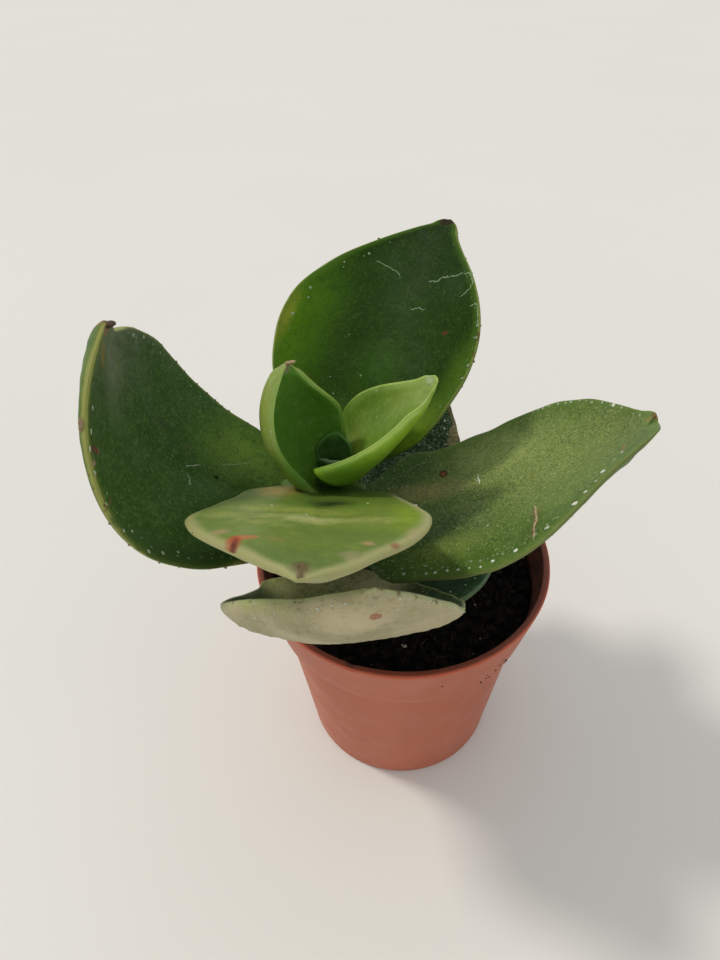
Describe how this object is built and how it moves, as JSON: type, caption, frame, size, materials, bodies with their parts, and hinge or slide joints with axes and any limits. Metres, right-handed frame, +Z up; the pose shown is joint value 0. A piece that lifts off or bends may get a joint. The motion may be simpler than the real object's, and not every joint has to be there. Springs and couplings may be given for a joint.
{
  "type": "potted succulent",
  "caption": "Small leafy succulent with broad fleshy leaves in crossed pairs on a short stem, standing in soil in a tapered plastic nursery pot.",
  "frame": {"origin": "centre of the pot's underside, on the surface that the pot stands on", "axes": "+Z up along the pot's axis, +X to the right of the plant as seen from its front, +Y away from the viewer"},
  "size_m": [0.0757, 0.0773, 0.1055],
  "materials": {
    "terracotta_plastic": "smooth moulded plastic, terracotta coloured, soft sheen",
    "peat_soil": "damp crumbly peat, near black",
    "stem_skin": "green-brown, faintly ringed",
    "old_leaf_dark": "dark green, waxy, with fine pale specks and white dots along the margin",
    "old_leaf_bright": "bright green, waxy, yellow-green margin",
    "old_leaf_pale": "green with a pale sheen and a beige-green margin, brown scars",
    "leaf_underside": "beige-grey underside with small dark wrinkles and a row of pale dots",
    "young_leaf": "fresh yellow-green, smooth and waxy",
    "bud_leaf": "dark green, smooth"
  },
  "bodies": {
    "root": {"pot": "terracotta_plastic", "soil": "peat_soil", "stem": "stem_skin", "leaf_left": "old_leaf_dark", "leaf_right": "old_leaf_dark", "leaf_back": "old_leaf_bright", "leaf_front": "old_leaf_pale", "leaf_front_lower": "leaf_underside", "leaf_back_lower": "old_leaf_dark", "leaf_right_lower": "old_leaf_dark", "young_leaf_left": "young_leaf", "young_leaf_right": "young_leaf", "bud_leaf_back": "bud_leaf", "bud_leaf_front": "bud_leaf"}
  },
  "joints": []
}
